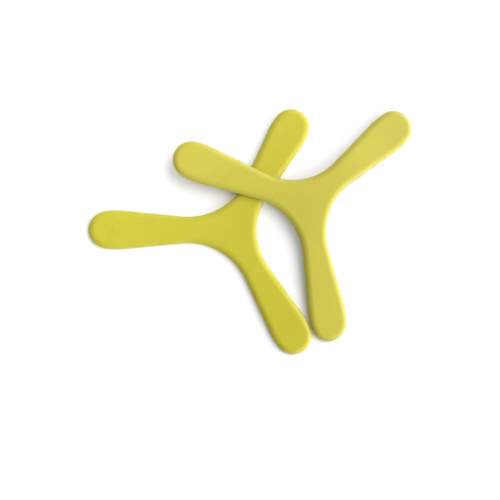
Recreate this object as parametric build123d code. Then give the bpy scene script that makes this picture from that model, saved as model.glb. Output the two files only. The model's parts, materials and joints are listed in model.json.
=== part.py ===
"""Two matching three-bladed boomerangs at rest, the second lying across a blade of the first.

Each boomerang is one solid piece: three equal blades that spring from a common hub, flat
underneath, with a flat top whose rim is rounded all the way round. The lower one lies flat
on the surface. The upper one leans: the ends of two of its blades touch the surface, and its
third blade crosses over a blade of the lower one.

Units are millimetres and degrees. +Z is up, and the origin is the centre of the pair's
footprint on the surface.
"""
from build123d import *
from math import cos, radians, sin
import os

# Outline of one boomerang
BLADE_COUNT = 3
BLADE_REACH = 155.0        # hub centre to the far end of a blade
TIP_RADIUS = 20.4          # round end of a blade
TIP_SWEEP = 80.0           # the round end runs this far to each side of the blade's axis
SHOULDER_RADIUS = 74.0     # long arc from the round end to the blade's widest place
SIDE_TAPER = 5.5           # from there each side closes in towards the hub by this angle
NOTCH_RADIUS = 69.5        # hollow arc that carries one blade's side into the next blade's

# Section of one boomerang
THICKNESS = 6.0
TOP_ROUND_WIDTH = 7.2      # the top rim's rounding, measured in from the edge
TOP_ROUND_DEPTH = 4.6      # the same rounding, measured down from the top
BOTTOM_ROUND_DEPTH = 0.9   # the bottom rim is only eased

# How the two lie
LOWER_HEADING = 60.0       # direction of the blade that is crossed over
UPPER_HEADING = 160.3      # direction of the blade that crosses over it
HUB_OFFSET = (82.85, 29.6) # from the lower hub to the upper hub, seen from above
UPPER_LEAN = 2.7           # the raised blade climbs by this angle


def polar(radius, angle):
    """A vector in the XY plane."""
    return Vector(radius * cos(radians(angle)), radius * sin(radians(angle)))


def outline():
    """The closed outline of a boomerang about its hub, with one blade along +X."""
    half_pitch = 180.0 / BLADE_COUNT
    side_normal = 90.0 + SIDE_TAPER
    shoulder_sweep = side_normal - TIP_SWEEP

    tip_centre = Vector(BLADE_REACH - TIP_RADIUS, 0)
    shoulder_centre = tip_centre - polar(SHOULDER_RADIUS - TIP_RADIUS, TIP_SWEEP)
    side_start = shoulder_centre + polar(SHOULDER_RADIUS, side_normal)

    # The notch's centre is on the line midway between two blades, and one radius off the side.
    outward = polar(1, side_normal)
    midway = polar(1, half_pitch)
    notch_centre = midway * ((outward.dot(side_start) + NOTCH_RADIUS) / outward.dot(midway))
    side_end = notch_centre - outward * NOTCH_RADIUS
    notch_sweep = 2 * (side_normal - half_pitch)

    tip = CenterArc(tip_centre, TIP_RADIUS, -TIP_SWEEP, 2 * TIP_SWEEP)
    shoulder = CenterArc(shoulder_centre, SHOULDER_RADIUS, TIP_SWEEP, shoulder_sweep)
    side = Line(side_start, side_end)
    notch = CenterArc(notch_centre, NOTCH_RADIUS, side_normal - 180, -notch_sweep)

    blade = [tip, shoulder, side, notch, shoulder.mirror(Plane.XZ), side.mirror(Plane.XZ)]
    turns = [index * 360.0 / BLADE_COUNT for index in range(BLADE_COUNT)]
    return Wire.combine([edge.rotate(Axis.Z, turn) for turn in turns for edge in blade])[0]


def with_true_flats(body):
    """The same body, its underside and top made planes again after flattening left them splines."""
    underside, *rims, top = body.faces().sort_by(Axis.Z)
    flats = [Face(flat.outer_wire()) for flat in (underside, top)]
    return Solid(Shell([*rims, *flats]))


def boomerang():
    """One boomerang about its hub, underside at z = 0, with one blade along +X.

    The rims are rounded with circular fillets on a taller body, which is then flattened to
    the real thickness, so that each rounding becomes wider than it is deep.
    """
    flattening = TOP_ROUND_DEPTH / TOP_ROUND_WIDTH
    tall = extrude(Face(outline()), THICKNESS / flattening)
    tall = fillet(tall.faces().sort_by(Axis.Z)[-1].edges(), TOP_ROUND_WIDTH)
    tall = fillet(tall.faces().sort_by(Axis.Z)[0].edges(), BOTTOM_ROUND_DEPTH / flattening)
    return with_true_flats(scale(tall, by=(1, 1, flattening)))


def lower_boomerang():
    """The one that lies flat."""
    return boomerang().rotate(Axis.Z, LOWER_HEADING)


def upper_boomerang():
    """The one that leans across it, let down until its low side meets the surface."""
    leaning = boomerang().rotate(Axis.Y, -UPPER_LEAN).rotate(Axis.Z, UPPER_HEADING)
    drop = leaning.bounding_box().min.Z
    return leaning.translate((*HUB_OFFSET, -drop))


def centred(nodes):
    """The nodes, moved together so that the origin is the centre of their footprint."""
    middle = Compound(list(nodes.values())).bounding_box().center()
    return {name: shape.translate((-middle.X, -middle.Y, 0)) for name, shape in nodes.items()}


os.makedirs("parts", exist_ok=True)
pair = centred({"lower_boomerang": lower_boomerang(), "upper_boomerang": upper_boomerang()})
for name, shape in pair.items():
    export_step(shape, f"parts/{name}.step")
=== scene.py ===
"""Two matching three-bladed boomerangs at rest, one lying across the other, on a plain pale floor."""

import json
from math import cos, pi, radians, sin

import bmesh
import bpy
from mathutils import Matrix, Vector, noise


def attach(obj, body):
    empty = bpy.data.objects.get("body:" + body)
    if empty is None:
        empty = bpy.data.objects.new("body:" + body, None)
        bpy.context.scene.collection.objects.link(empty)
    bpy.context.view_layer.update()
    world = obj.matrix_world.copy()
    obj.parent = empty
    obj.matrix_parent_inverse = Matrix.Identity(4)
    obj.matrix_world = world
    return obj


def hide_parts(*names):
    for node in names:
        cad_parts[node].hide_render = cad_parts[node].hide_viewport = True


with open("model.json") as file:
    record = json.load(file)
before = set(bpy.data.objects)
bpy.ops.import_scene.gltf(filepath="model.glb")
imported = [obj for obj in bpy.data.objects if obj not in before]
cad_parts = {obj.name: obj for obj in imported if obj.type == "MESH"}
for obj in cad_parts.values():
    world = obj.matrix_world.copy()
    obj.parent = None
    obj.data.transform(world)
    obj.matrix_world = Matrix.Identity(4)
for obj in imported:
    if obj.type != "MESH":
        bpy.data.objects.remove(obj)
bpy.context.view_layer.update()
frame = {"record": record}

MM = 0.001

# Outline of one boomerang, the same as the CAD's
BLADE_COUNT = 3
BLADE_REACH = 155.0 * MM
TIP_RADIUS = 20.4 * MM
TIP_SWEEP = radians(80.0)
SHOULDER_RADIUS = 74.0 * MM
SIDE_TAPER = radians(5.5)
NOTCH_RADIUS = 69.5 * MM

# Section of one boomerang, the same as the CAD's
THICKNESS = 6.0 * MM
TOP_ROUND_WIDTH = 7.2 * MM
TOP_ROUND_DEPTH = 4.6 * MM
BOTTOM_ROUND_DEPTH = 0.9 * MM
BOTTOM_ROUND_WIDTH = BOTTOM_ROUND_DEPTH * TOP_ROUND_WIDTH / TOP_ROUND_DEPTH

# How the two lie, the same as in the CAD
LOWER_HEADING = radians(60.0)
UPPER_HEADING = radians(160.3)
UPPER_LEAN = radians(2.7)
HUB_OFFSET = Vector((82.85, 29.6, 0)) * MM

# Mesh density
STEP = 1.1 * MM            # along the outline
MERGE_DISTANCE = 0.01 * STEP
SPINE_LENGTH = 142.0 * MM  # hub centre to where the bands round the tip close
TOP_ROUND_RINGS = 16
BOTTOM_ROUND_RINGS = 5
FLAT_RINGS = 11

# Unevenness of the top
SURFACE_DIP = 0.12 * MM    # how far the top falls short of true flat
DIP_LENGTH = 34.0 * MM
LOWER_SEED = Vector((3.1, 0.0, 7.7))
UPPER_SEED = Vector((9.4, 5.2, 1.3))

# Skin colours
LOWER_COLOUR = (0.478, 0.434, 0.0125)
UPPER_COLOUR = (0.474, 0.424, 0.033)
# Pale rim colour: rubbed wear and a painted highlight
RUB_AND_HIGHLIGHT_COLOUR = (0.60, 0.57, 0.12)

# Skin gloss
SKIN_ROUGHNESS = 0.58
RUBBED_SMOOTHER = 0.25     # how much less rough a rubbed rim is
SKIN_IOR = 1.48
SHEEN = 0.1
SHEEN_ROUGHNESS = 0.4

# Skin pattern. Noise scales are per metre, so a scale of 20 has features about 50 mm across.
# A tint is (brightness, paleness) against the skin's colour.
NOISE_RANGE = (0.3, 0.7)   # nearly all of the noise lies between these
GROUND_TINT = (0.965, 1.0)
COLOUR_LAYERS = (          # (noise scale, detail, strength, tint)
    (17.0, 2.0, 1.0, (1.04, 1.15)),    # broad clouds
    (190.0, 3.0, 0.75, (0.95, 0.8)),   # mottling
    (560.0, 2.0, 0.6, (1.05, 1.3)),    # speckle
)
GLOSS_LAYERS = (           # (noise scale, detail, change of roughness either way)
    (45.0, 3.0, 0.03),
    (420.0, 2.0, 0.035),
)
BUMP_LAYERS = (            # (noise scale, detail, strength, height)
    (240.0, 2.0, 0.6, 0.08 * MM),      # slow unevenness
    (1300.0, 3.0, 0.9, 0.07 * MM),     # moulded grain
)

# Rims paler towards the edge: rubbed wear and a painted highlight
RIM_LAYER = "rim"          # vertex attribute: 1 at the rim, 0 where the flat starts
RUB_AND_HIGHLIGHT_SCALE = 120.0
RUB_AND_HIGHLIGHT_DETAIL = 4.0
RUB_AND_HIGHLIGHT_RANGE = (0.05, 0.45)   # least and most pale: rubbed wear and painted highlight

# Handling marks, from the hub's centre, with one blade along +X
LOWER_MARKS = (-66.0 * MM, 113.0 * MM, THICKNESS)  # near the end of one blade
UPPER_MARKS = (96.0 * MM, 6.0 * MM, THICKNESS)     # part way out on another
MARK_REACH = 22.0 * MM
MARK_STRENGTH = 0.8
MARK_TINT = (0.86, 0.8)
SMEAR_SCALE = 85.0
SMEAR_DETAIL = 5.0
SMEAR_RANGE = (-0.2, 0.8)  # below 0 is left clean
SMEAR_DISTORTION = 0.8

# Floor
FLOOR_COLOUR = (0.92, 0.92, 0.92, 1)
FLOOR_ROUGHNESS = 0.9
FLOOR_SPECULAR = 0.2
FLOOR_RADIUS = 25.0
FLOOR_SIDES = 96
FLOOR_GAP = 0.1 * MM       # keeps the floor's face clear of the underside's

# Camera
SENSOR_WIDTH = 36
LENS_LENGTH = 32.4
AIM_OFFSET = Vector((19.86, -22.17, 1.5)) * MM     # from the lower hub
CAMERA_DISTANCE = 497.5 * MM
CAMERA_TILT_X = 0.0479     # radians away from straight down
CAMERA_TILT_Y = -0.0696
CLIP_START = 0.01

# Lights; azimuth and elevation are in degrees, and azimuth 0 is +X and 90 is +Y
HIGH_LIGHT = (45, 40)      # (azimuth, elevation)
SOFT_SUN = radians(50.0)
SUN_DISTANCE = 2.0
SUNS = (                   # (name, azimuth, elevation, strength)
    ("low_right_front", 330, 15, 0.70),
    ("low_right", 0, 15, 0.50),
    ("low_front", 300, 15, 0.39),
    ("low_right_back", 45, 15, 0.25),
    ("high_right_back", *HIGH_LIGHT, 0.755),
)
PANEL_SIZE = 0.5
PANELS = (                 # (name, azimuth, elevation, distance, watts)
    ("left", 180, 50, 0.7, 0.5),
    ("top_left", 145, 65, 0.5, 0.9),
)

# Shading card, between the high light and a spot near the middle of the pair
CARD_RADIUS = 0.058
CARD_SIDES = 48
CARD_SHADES = Vector((-0.027, -0.037, 0))
CARD_DISTANCE = 0.305

WHITE = (1, 1, 1, 1)
AMBIENT = 0.03             # light from all round
BACKDROP = 0.9             # how bright the same surroundings look to the camera


def polar(radius, angle):
    """A vector in the XY plane."""
    return Vector((radius * cos(angle), radius * sin(angle), 0))


def arc_points(centre, radius, start, sweep, side):
    """Points and outward normals along an arc; side is 1 where it bulges and -1 where it is hollow."""
    count = max(2, round(abs(sweep) * radius / STEP))
    for index in range(count + 1):
        normal = polar(1, start + sweep * index / count)
        yield centre + normal * radius, normal * side


def half_blade():
    """(point, outward normal, spine point) along half a blade's outline, from the tip end to mid-notch.

    The spine is the blade's centre line, from the hub's centre to near the tip's: the flat faces
    are filled with bands that run from the rim to it.
    """
    half_pitch = pi / BLADE_COUNT
    side_normal = pi / 2 + SIDE_TAPER
    tip_centre = Vector((BLADE_REACH - TIP_RADIUS, 0, 0))
    shoulder_centre = tip_centre - polar(SHOULDER_RADIUS - TIP_RADIUS, TIP_SWEEP)
    side_start = shoulder_centre + polar(SHOULDER_RADIUS, side_normal)
    outward, midway = polar(1, side_normal), polar(1, half_pitch)
    notch_centre = midway * ((outward.dot(side_start) + NOTCH_RADIUS) / outward.dot(midway))
    side_end = notch_centre - outward * NOTCH_RADIUS

    rim = list(arc_points(tip_centre, TIP_RADIUS, 0, TIP_SWEEP, 1))
    tip_count = len(rim) - 1
    rim += list(arc_points(shoulder_centre, SHOULDER_RADIUS, TIP_SWEEP, side_normal - TIP_SWEEP, 1))[1:]
    side_count = round((side_end - side_start).length / STEP)
    rim += [(side_start.lerp(side_end, i / side_count), outward) for i in range(1, side_count)]
    rim += list(arc_points(notch_centre, NOTCH_RADIUS, side_normal - pi, half_pitch - side_normal, -1))

    # A rim point's spine point is abreast of it, and round the tip they are spread evenly.
    tip_join, mid_notch = rim[tip_count][0].x, rim[-1][0].x
    columns = []
    for index, (point, normal) in enumerate(rim):
        if index < tip_count:
            abreast = BLADE_REACH + (tip_join - BLADE_REACH) * index / tip_count
        else:
            abreast = point.x
        share = (abreast - mid_notch) / (BLADE_REACH - mid_notch)
        columns.append((point, normal, Vector((SPINE_LENGTH * share, 0, 0))))
    return columns


def rings():
    """(inset from the rim, height, share of the way to the spine), from under the spine to above it."""
    made = [(BOTTOM_ROUND_WIDTH, 0.0, 1 - i / FLAT_RINGS) for i in range(FLAT_RINGS)]
    for i in range(BOTTOM_ROUND_RINGS + 1):
        angle = pi / 2 * (1 - i / BOTTOM_ROUND_RINGS)
        made.append((BOTTOM_ROUND_WIDTH * (1 - cos(angle)), BOTTOM_ROUND_DEPTH * (1 - sin(angle)), 0.0))
    for i in range(TOP_ROUND_RINGS + 1):
        angle = pi / 2 * i / TOP_ROUND_RINGS
        height = THICKNESS - TOP_ROUND_DEPTH * (1 - sin(angle))
        made.append((TOP_ROUND_WIDTH * (1 - cos(angle)), height, 0.0))
    made += [(TOP_ROUND_WIDTH, THICKNESS, (i + 1) / FLAT_RINGS) for i in range(FLAT_RINGS)]
    return made


def boomerang_mesh(name):
    """A closed quad mesh of one boomerang about its hub, with one blade along +X."""
    bm = bmesh.new()
    rim_layer = bm.verts.layers.float.new(RIM_LAYER)
    levels = rings()
    columns = half_blade()
    for blade in range(BLADE_COUNT):
        turn = Matrix.Rotation(2 * pi * blade / BLADE_COUNT, 3, "Z")
        for flip in (1, -1):
            grid = []
            for point, normal, spine in columns:
                column = []
                for inset, height, share in levels:
                    position = (point - normal * inset).lerp(spine, share)
                    position.y *= flip
                    position.z = height
                    vertex = bm.verts.new(turn @ position)
                    vertex[rim_layer] = max(0.0, 1 - inset / TOP_ROUND_WIDTH) if share == 0 else 0.0
                    column.append(vertex)
                grid.append(column)
            for left, right in zip(grid, grid[1:]):
                for j in range(len(levels) - 1):
                    corners = [left[j], right[j], right[j + 1], left[j + 1]]
                    bm.faces.new(corners if flip > 0 else corners[::-1])
    bmesh.ops.remove_doubles(bm, verts=bm.verts, dist=MERGE_DISTANCE)
    bmesh.ops.dissolve_degenerate(bm, edges=bm.edges, dist=MERGE_DISTANCE)
    bmesh.ops.recalc_face_normals(bm, faces=bm.faces)
    mesh = bpy.data.meshes.new(name)
    bm.to_mesh(mesh)
    bm.free()
    mesh.shade_smooth()
    return mesh


def node_tree(owner):
    """Functions to add a node and to link two sockets, in a material's or world's emptied node tree."""
    owner.use_nodes = True
    tree = owner.node_tree
    tree.nodes.clear()

    def add(kind, **values):
        """A node, with values for its inputs and settings by name."""
        node = tree.nodes.new(kind)
        for key, value in values.items():
            if key in node.inputs:
                node.inputs[key].default_value = value
            else:
                setattr(node, key, value)
        return node

    return add, tree.links.new


def moulded_skin(name, colour, marks_at):
    """Matt moulded plastic: mottled colour, fine grain, pale rims that are rubbed wear and a painted
    highlight, and faint handling marks.
    """
    material = bpy.data.materials.new(name)
    add, link = node_tree(material)
    output = add("ShaderNodeOutputMaterial")
    gloss = {"IOR": SKIN_IOR, "Sheen Weight": SHEEN, "Sheen Roughness": SHEEN_ROUGHNESS}
    shader = add("ShaderNodeBsdfPrincipled", **gloss)
    link(shader.outputs["BSDF"], output.inputs["Surface"])
    coords = add("ShaderNodeTexCoord").outputs["Object"]

    def noise_node(scale, detail, **extra):
        """Noise fixed to the object."""
        texture = add("ShaderNodeTexNoise", Scale=scale, Detail=detail, **extra)
        link(coords, texture.inputs["Vector"])
        return texture.outputs["Fac"]

    def cloud(scale, detail, low, high, **extra):
        """Noise stretched to run from low to high."""
        spread = {"From Min": NOISE_RANGE[0], "From Max": NOISE_RANGE[1], "To Min": low, "To Max": high}
        stretch = add("ShaderNodeMapRange", **spread)
        link(noise_node(scale, detail, **extra), stretch.inputs["Value"])
        return stretch.outputs["Result"]

    def maths(operation, first, second):
        """One sum on sockets or numbers."""
        node = add("ShaderNodeMath", operation=operation)
        for socket, value in zip(node.inputs, (first, second)):
            if isinstance(value, (int, float)):
                socket.default_value = value
            else:
                link(value, socket)
        return node.outputs["Value"]

    def blend(amount, under, over):
        """Mixes two colours, each a socket or a plain colour, by a socket."""
        node = add("ShaderNodeMix", data_type="RGBA")
        factor, colour_a, colour_b = node.inputs[0], node.inputs[6], node.inputs[7]
        for socket, value in ((factor, amount), (colour_a, under), (colour_b, over)):
            if isinstance(value, bpy.types.NodeSocket):
                link(value, socket)
            else:
                socket.default_value = value
        return node.outputs[2]

    def shade(tint):
        """The skin's colour, lighter or deeper, and paler or yellower."""
        brightness, paleness = tint
        red, green, blue = colour
        return (red * brightness, green * brightness, blue * brightness * paleness, 1)

    # Colour: the layers of pattern, then pale rims, partly rubbed wear and partly a painted highlight
    skin = shade(GROUND_TINT)
    for scale, detail, strength, tint in COLOUR_LAYERS:
        skin = blend(cloud(scale, detail, 0.0, strength), skin, shade(tint))
    rim = add("ShaderNodeAttribute", attribute_name=RIM_LAYER).outputs["Fac"]
    # The rims are painted paler towards the edge: rubbed wear and a painted highlight
    rub_and_highlight = maths("MULTIPLY", rim, cloud(RUB_AND_HIGHLIGHT_SCALE, RUB_AND_HIGHLIGHT_DETAIL, *RUB_AND_HIGHLIGHT_RANGE))
    skin = blend(rub_and_highlight, skin, (*RUB_AND_HIGHLIGHT_COLOUR, 1))

    # Colour: the marks left by handling, smeared and fading away from one spot
    spot = add("ShaderNodeVectorMath", operation="DISTANCE")
    link(coords, spot.inputs[0])
    spot.inputs[1].default_value = marks_at
    fade = {"From Min": MARK_REACH, "From Max": 0.0, "To Min": 0.0, "To Max": 1.0}
    near = add("ShaderNodeMapRange", interpolation_type="SMOOTHSTEP", **fade)
    link(spot.outputs["Value"], near.inputs["Value"])
    smear = cloud(SMEAR_SCALE, SMEAR_DETAIL, *SMEAR_RANGE, Distortion=SMEAR_DISTORTION)
    smear = maths("MAXIMUM", maths("MULTIPLY", near.outputs["Result"], smear), 0.0)
    skin = blend(maths("MULTIPLY", smear, MARK_STRENGTH), skin, shade(MARK_TINT))
    link(skin, shader.inputs["Base Color"])

    # Roughness: changes all over, and smoother where it is rubbed
    roughness = SKIN_ROUGHNESS
    for scale, detail, change in GLOSS_LAYERS:
        roughness = maths("ADD", cloud(scale, detail, -change, change), roughness)
    roughness = maths("SUBTRACT", roughness, maths("MULTIPLY", rub_and_highlight, RUBBED_SMOOTHER))
    link(roughness, shader.inputs["Roughness"])

    # Bump: each layer on top of the one before
    normal_input = shader.inputs["Normal"]
    for scale, detail, strength, height in reversed(BUMP_LAYERS):
        bump = add("ShaderNodeBump", Strength=strength, Distance=height)
        link(noise_node(scale, detail), bump.inputs["Height"])
        link(bump.outputs["Normal"], normal_input)
        normal_input = bump.inputs["Normal"]
    return material


def floor_material():
    """Plain white paper."""
    material = bpy.data.materials.new("floor_paper")
    add, link = node_tree(material)
    output = add("ShaderNodeOutputMaterial")
    shader = add("ShaderNodeBsdfPrincipled", Roughness=FLOOR_ROUGHNESS)
    shader.inputs["Base Color"].default_value = FLOOR_COLOUR
    shader.inputs["Specular IOR Level"].default_value = FLOOR_SPECULAR
    link(shader.outputs["BSDF"], output.inputs["Surface"])
    return material


def settle(mesh, seed):
    """Gives the top the slight unevenness of a moulding, always below the true shape."""
    for vertex in mesh.vertices:
        dip = 0.5 + 0.5 * noise.noise(vertex.co / DIP_LENGTH + seed)
        vertex.co.z *= 1 - dip * SURFACE_DIP / THICKNESS


def place(name, body, node, shape, transform, seed, material):
    """One boomerang in place, standing for its CAD node."""
    mesh = shape.copy()
    mesh.name = name
    settle(mesh, seed)
    mesh.transform(transform)
    piece = bpy.data.objects.new(name, mesh)
    bpy.context.scene.collection.objects.link(piece)
    mesh.materials.append(material)
    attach(piece, body)
    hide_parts(node)


def make_floor():
    """A disc that reaches the horizon."""
    bpy.ops.mesh.primitive_circle_add(
        vertices=FLOOR_SIDES, radius=FLOOR_RADIUS, fill_type="NGON", location=(0, 0, -FLOOR_GAP))
    floor = bpy.context.object
    floor.name = "floor"
    floor.data.materials.append(floor_material())


def make_camera(aim):
    """The camera, nearly straight above the pair."""
    camera = bpy.data.objects.new("camera", bpy.data.cameras.new("camera"))
    bpy.context.scene.collection.objects.link(camera)
    bpy.context.scene.camera = camera
    camera.data.sensor_width = SENSOR_WIDTH
    camera.data.lens = LENS_LENGTH
    camera.data.clip_start = CLIP_START
    tilt = Matrix.Rotation(CAMERA_TILT_X, 4, "X") @ Matrix.Rotation(CAMERA_TILT_Y, 4, "Y")
    camera.matrix_world = Matrix.Translation(aim) @ tilt @ Matrix.Translation((0, 0, CAMERA_DISTANCE))


def facing(azimuth, elevation, distance):
    """A place that far out in that direction, turned to face the middle."""
    flat = polar(cos(radians(elevation)), radians(azimuth))
    towards = flat + Vector((0, 0, sin(radians(elevation))))
    turn = towards.to_track_quat("Z", "Y").to_matrix().to_4x4()
    return Matrix.Translation(towards * distance) @ turn


def add_lamp(name, kind, azimuth, elevation, distance, **values):
    """A lamp in that direction, facing the pair and itself unseen."""
    data = bpy.data.lights.new(name, kind)
    for key, value in values.items():
        setattr(data, key, value)
    lamp = bpy.data.objects.new(name, data)
    lamp.matrix_world = facing(azimuth, elevation, distance)
    lamp.visible_camera = False
    bpy.context.scene.collection.objects.link(lamp)


def add_card(azimuth, elevation):
    """An unseen card that shades the middle of the pair a little from one light."""
    bpy.ops.mesh.primitive_circle_add(vertices=CARD_SIDES, radius=CARD_RADIUS, fill_type="NGON")
    card = bpy.context.object
    card.name = "card"
    card.matrix_world = Matrix.Translation(CARD_SHADES) @ facing(azimuth, elevation, CARD_DISTANCE)
    card.data.materials.append(floor_material())
    card.visible_camera = False


def make_world():
    """Surroundings that add little light but look pale to the camera."""
    world = bpy.data.worlds.new("studio")
    bpy.context.scene.world = world
    add, link = node_tree(world)
    output = add("ShaderNodeOutputWorld")
    ambient = add("ShaderNodeBackground", Color=WHITE, Strength=AMBIENT)
    backdrop = add("ShaderNodeBackground", Color=WHITE, Strength=BACKDROP)
    seen = add("ShaderNodeMixShader")
    link(add("ShaderNodeLightPath").outputs["Is Camera Ray"], seen.inputs["Fac"])
    link(ambient.outputs["Background"], seen.inputs[1])
    link(backdrop.outputs["Background"], seen.inputs[2])
    link(seen.outputs["Shader"], output.inputs["Surface"])


# The two boomerangs, the upper one leaning until it rests on the ends of two blades
mounts = {mount["name"]: mount for mount in frame["record"]["mounts"]}
lower_hub = Vector(mounts["lower_underside"]["pos_m"])
boomerang = boomerang_mesh("boomerang")
lower_turn = Matrix.Rotation(LOWER_HEADING, 4, "Z")
upper_turn = Matrix.Rotation(UPPER_HEADING, 4, "Z") @ Matrix.Rotation(-UPPER_LEAN, 4, "Y")
lowest = min((upper_turn @ vertex.co).z for vertex in boomerang.vertices)
lower_place = Matrix.Translation(lower_hub) @ lower_turn
upper_place = Matrix.Translation(lower_hub + HUB_OFFSET - Vector((0, 0, lowest))) @ upper_turn
lower_skin = moulded_skin("lower_skin", LOWER_COLOUR, lower_place @ Vector(LOWER_MARKS))
place("lower_boomerang_skin", "lower", "lower_boomerang",
      boomerang, lower_place, LOWER_SEED, lower_skin)
upper_skin = moulded_skin("upper_skin", UPPER_COLOUR, upper_place @ Vector(UPPER_MARKS))
place("upper_boomerang_skin", "upper", "upper_boomerang",
      boomerang, upper_place, UPPER_SEED, upper_skin)

# The studio round them
make_floor()
make_camera(lower_hub + AIM_OFFSET)
for name, azimuth, elevation, strength in SUNS:
    add_lamp(name, "SUN", azimuth, elevation, SUN_DISTANCE, energy=strength * pi, angle=SOFT_SUN)
for name, azimuth, elevation, distance, watts in PANELS:
    add_lamp(name, "AREA", azimuth, elevation, distance, energy=watts, size=PANEL_SIZE, shape="DISK")
add_card(*HIGH_LIGHT)
make_world()
bpy.context.scene.view_settings.view_transform = "Standard"
